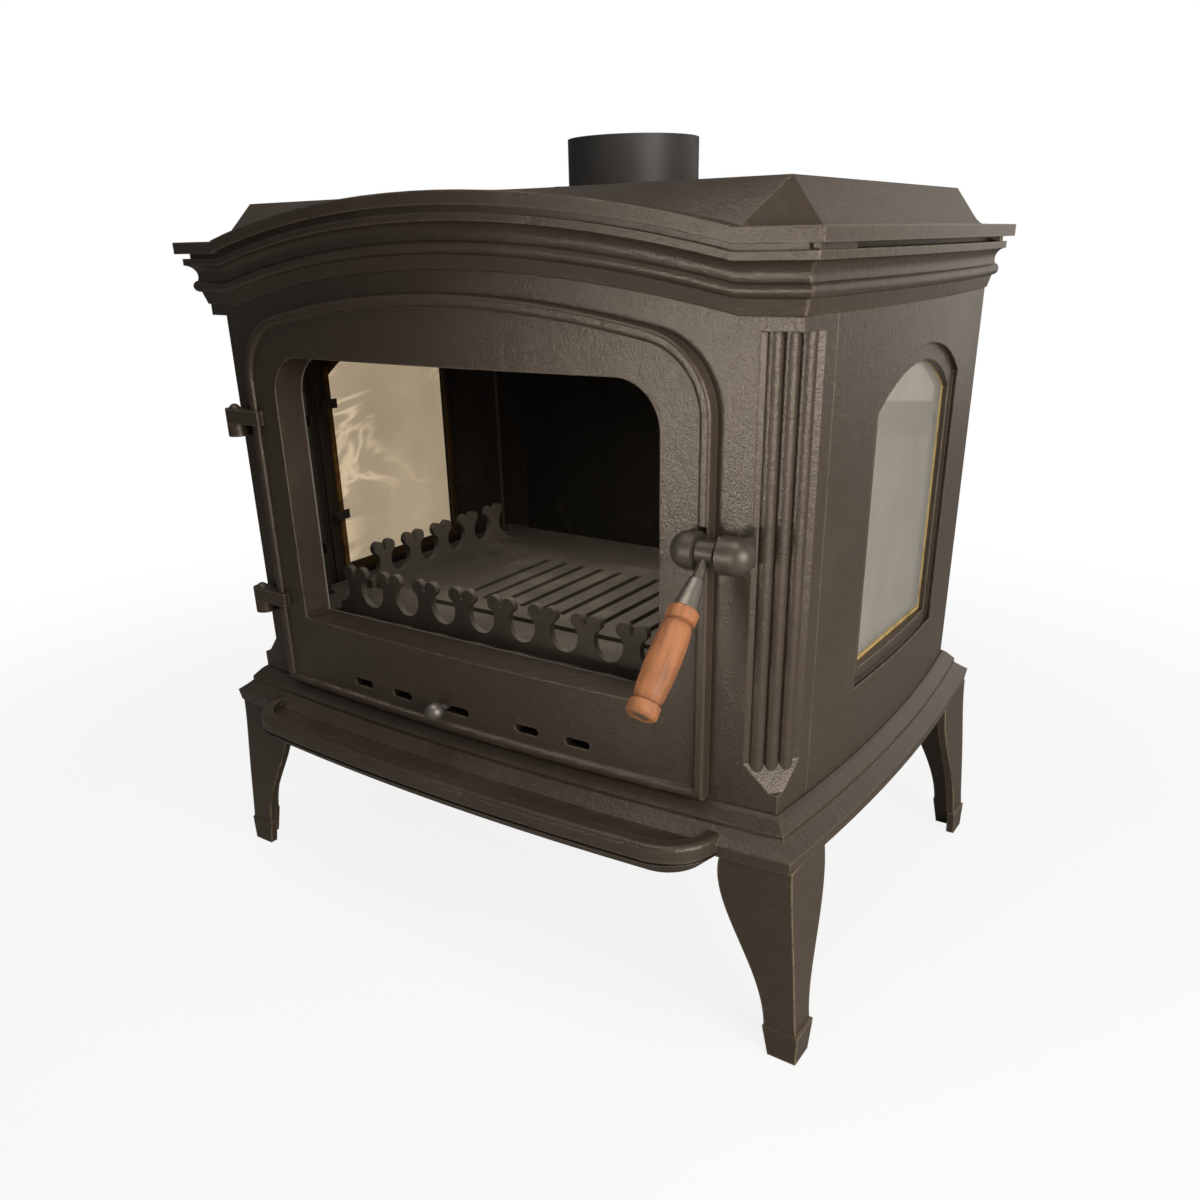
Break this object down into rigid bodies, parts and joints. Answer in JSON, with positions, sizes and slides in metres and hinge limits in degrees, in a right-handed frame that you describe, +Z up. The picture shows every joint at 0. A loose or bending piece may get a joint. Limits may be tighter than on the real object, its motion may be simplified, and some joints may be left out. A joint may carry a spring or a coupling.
{
  "type": "wood stove",
  "caption": "Cast iron wood stove with bowed panels, arched glazed door on hinges, lift-up latch handle, sliding air register, side windows, cabriole legs and a top flue collar.",
  "frame": {"origin": "on the floor, under the middle of the bounding box with the handle in its rest pose", "axes": "+Z up along the flue, +X to the right as seen from the front, -Y out through the door"},
  "size_m": [0.829, 0.6922, 0.875],
  "materials": {
    "cast_iron": "satin stove paint",
    "collar_iron": "satin",
    "fire_iron": "raw, sooted",
    "black_steel": "blackened",
    "bright_steel": "satin",
    "grip_wood": "oiled",
    "clear_glass": "polished",
    "rope": "woven"
  },
  "bodies": {
    "carcass": {"ash_pan": "black_steel", "back_liner": "fire_iron", "back_panel": "cast_iron", "baffle_plate": "fire_iron", "base_plate": "cast_iron", "flue_collar": "collar_iron", "flue_collar_bolts": "black_steel", "front_left_leg": "cast_iron", "front_log_retainer": "fire_iron", "front_panel": "cast_iron", "front_right_leg": "cast_iron", "grate": "fire_iron", "hearth_plate": "fire_iron", "keeper_boss": "cast_iron", "keeper_rod": "bright_steel", "left_log_retainer": "fire_iron", "left_side_glass": "clear_glass", "left_side_glass_gasket": "rope", "left_side_panel": "cast_iron", "leg_bolts": "black_steel", "rear_left_leg": "cast_iron", "rear_right_leg": "cast_iron", "right_log_retainer": "fire_iron", "right_side_glass": "clear_glass", "right_side_glass_gasket": "rope", "right_side_panel": "cast_iron", "side_clip_screws": "black_steel", "side_glass_clips": "black_steel", "tie_rods": "black_steel", "top_plate": "cast_iron"},
    "door": {"door_frame": "cast_iron", "upper_hinge_pin": "black_steel", "lower_hinge_pin": "black_steel", "door_glass_gasket": "rope", "door_glass": "clear_glass", "door_rope_seal": "rope", "door_glass_clips": "black_steel", "door_clip_screws": "black_steel", "slide_screws": "black_steel", "latch_boss": "cast_iron", "lever_pivot_pin": "bright_steel"},
    "handle": {"handle_lever": "bright_steel", "handle_ferrule": "bright_steel", "wooden_grip": "grip_wood", "grip_screw": "bright_steel"},
    "air_register": {"air_slide": "black_steel", "air_knob": "bright_steel"}
  },
  "joints": [
    {"name": "door_hinge", "type": "hinge", "parent": "carcass", "child": "door", "pos_m": [-0.33, -0.2069, 0.584], "axis": [0, 0, -1], "range_deg": [0, 110]},
    {"name": "handle_lift", "type": "hinge", "parent": "door", "child": "handle", "pos_m": [0.305, -0.2259, 0.522], "axis": [-1, 0, 0], "range_deg": [0, 60]},
    {"name": "air_slide", "type": "slide", "parent": "door", "child": "air_register", "axis": [1, 0, 0], "range_m": [0, 0.032]}
  ]
}
